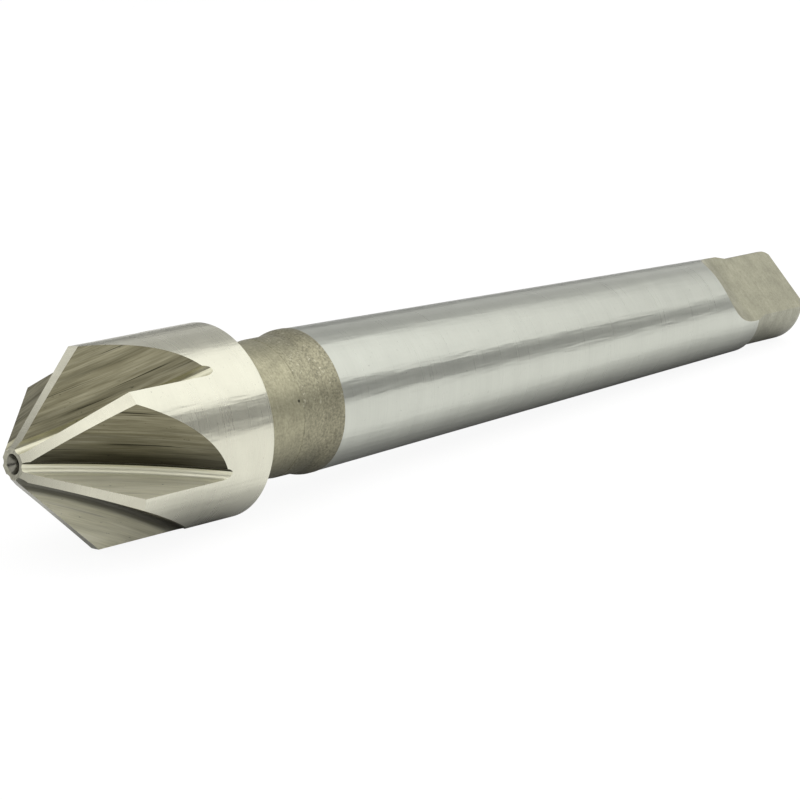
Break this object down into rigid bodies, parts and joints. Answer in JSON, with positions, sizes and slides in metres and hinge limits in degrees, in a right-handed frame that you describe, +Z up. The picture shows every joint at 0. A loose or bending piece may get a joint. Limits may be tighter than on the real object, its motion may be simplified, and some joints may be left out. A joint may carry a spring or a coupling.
{
  "type": "countersink bit",
  "caption": "Conical countersink with relieved cutting teeth on a round head, a turned neck and a Morse taper shank with a driving tang.",
  "frame": {"origin": "on the bit's axis at the gauge line of its Morse taper, where the socket's mouth comes", "axes": "+X along the bit's axis, from the point towards the tang; +Z is up in the picture, with the bit lying on its side; +Y completes the frame"},
  "size_m": [0.093, 0.016, 0.016],
  "materials": {
    "steel": "ground on the head and shank, milled in the flutes, as turned on the neck and tang"
  },
  "bodies": {
    "root": {"countersink_bit": "steel"}
  },
  "joints": []
}
